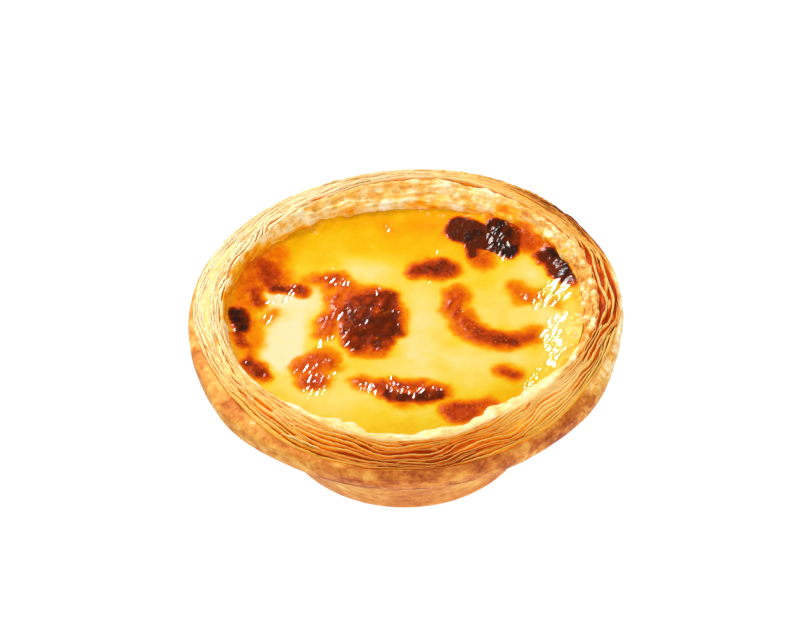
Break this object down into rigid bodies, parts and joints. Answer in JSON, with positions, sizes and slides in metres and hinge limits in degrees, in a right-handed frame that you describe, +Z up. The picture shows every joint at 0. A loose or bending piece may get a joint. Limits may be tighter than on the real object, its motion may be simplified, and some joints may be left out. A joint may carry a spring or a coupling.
{
  "type": "egg tart",
  "caption": "Round egg tart: a tapered cup of layered puff pastry with a thick flaky rim, filled with baked custard that is browned in patches.",
  "frame": {"origin": "centre of the flat underside of the base, which the tart stands on", "axes": "+Z up, out of the filling; +X to the right and +Y away from a viewer who faces the front of the tart"},
  "size_m": [0.075, 0.0751, 0.0277],
  "materials": {
    "pastry": "matt baked puff pastry, pale cream at the layer edges and toasted brown on the outer band",
    "custard": "glossy baked custard, yellow with caramelised brown patches"
  },
  "bodies": {
    "root": {"pastry_shell": "pastry", "custard": "custard"}
  },
  "joints": []
}
